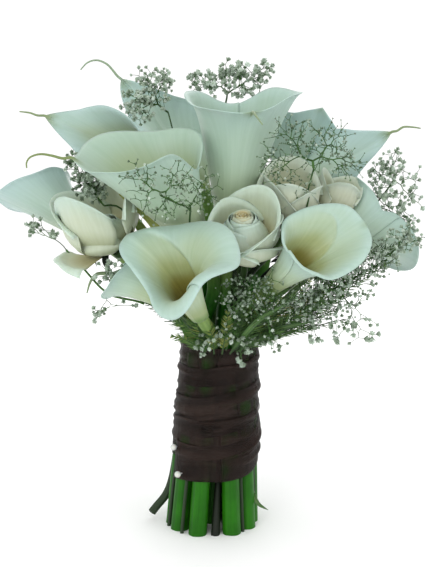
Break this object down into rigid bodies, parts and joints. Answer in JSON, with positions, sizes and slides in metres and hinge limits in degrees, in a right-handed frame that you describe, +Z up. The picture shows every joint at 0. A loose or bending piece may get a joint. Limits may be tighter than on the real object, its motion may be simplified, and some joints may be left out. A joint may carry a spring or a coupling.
{
  "type": "calla lily bouquet",
  "caption": "Hand-tied bridal bouquet of white calla lilies, cream roses and baby's breath, with a dark ribbon-wrapped handle and pearl pins, standing on its cut stems.",
  "frame": {"origin": "middle of the centre stem's cut end, level with every other cut end that the bouquet stands on", "axes": "+Z up along the handle, -Y towards the side the picture shows, +X to its right"},
  "size_m": [0.3713, 0.2841, 0.3789],
  "materials": {
    "calla_white": "satin",
    "calla_green": "satin",
    "spadix_yellow": "matte",
    "rose_cream": "satin",
    "rose_green": "matte",
    "spray_white": "matte",
    "ribbon_brown": "sheer satin",
    "pearl_white": "gloss"
  },
  "bodies": {
    "root": {"calla_back_left_spadix": "spadix_yellow", "calla_back_left_spathe": "calla_white", "calla_back_left_stem": "calla_green", "calla_back_right_spadix": "spadix_yellow", "calla_back_right_spathe": "calla_white", "calla_back_right_stem": "calla_green", "calla_back_spadix": "spadix_yellow", "calla_back_spathe": "calla_white", "calla_back_stem": "calla_green", "calla_centre_spadix": "spadix_yellow", "calla_centre_spathe": "calla_white", "calla_centre_stem": "calla_green", "calla_front_spadix": "spadix_yellow", "calla_front_spathe": "calla_white", "calla_front_stem": "calla_green", "calla_left_front_spadix": "spadix_yellow", "calla_left_front_spathe": "calla_white", "calla_left_front_stem": "calla_green", "calla_left_high_spadix": "spadix_yellow", "calla_left_high_spathe": "calla_white", "calla_left_high_stem": "calla_green", "calla_left_low_spadix": "spadix_yellow", "calla_left_low_spathe": "calla_white", "calla_left_low_stem": "calla_green", "calla_left_side_spadix": "spadix_yellow", "calla_left_side_spathe": "calla_white", "calla_left_side_stem": "calla_green", "calla_right_front_spadix": "spadix_yellow", "calla_right_front_spathe": "calla_white", "calla_right_front_stem": "calla_green", "calla_right_high_spadix": "spadix_yellow", "calla_right_high_spathe": "calla_white", "calla_right_high_stem": "calla_green", "calla_right_side_spadix": "spadix_yellow", "calla_right_side_spathe": "calla_white", "calla_right_side_stem": "calla_green", "pin_high": "pearl_white", "pin_low": "pearl_white", "ribbon": "ribbon_brown", "rose_back_right_bloom": "rose_cream", "rose_back_right_stem": "rose_green", "rose_front_bloom": "rose_cream", "rose_front_stem": "rose_green", "rose_left_bloom": "rose_cream", "rose_left_stem": "rose_green", "rose_right_back_bloom": "rose_cream", "rose_right_back_stem": "rose_green", "rose_right_bloom": "rose_cream", "rose_right_stem": "rose_green", "spray_back_high": "spray_white", "spray_centre_left": "spray_white", "spray_left_high": "spray_white", "spray_left_low": "spray_white", "spray_lower_centre": "spray_white", "spray_right_big": "spray_white", "spray_right_edge": "spray_white", "spray_right_low": "spray_white", "spray_top_centre": "spray_white", "spray_top_left": "spray_white"}
  },
  "joints": []
}
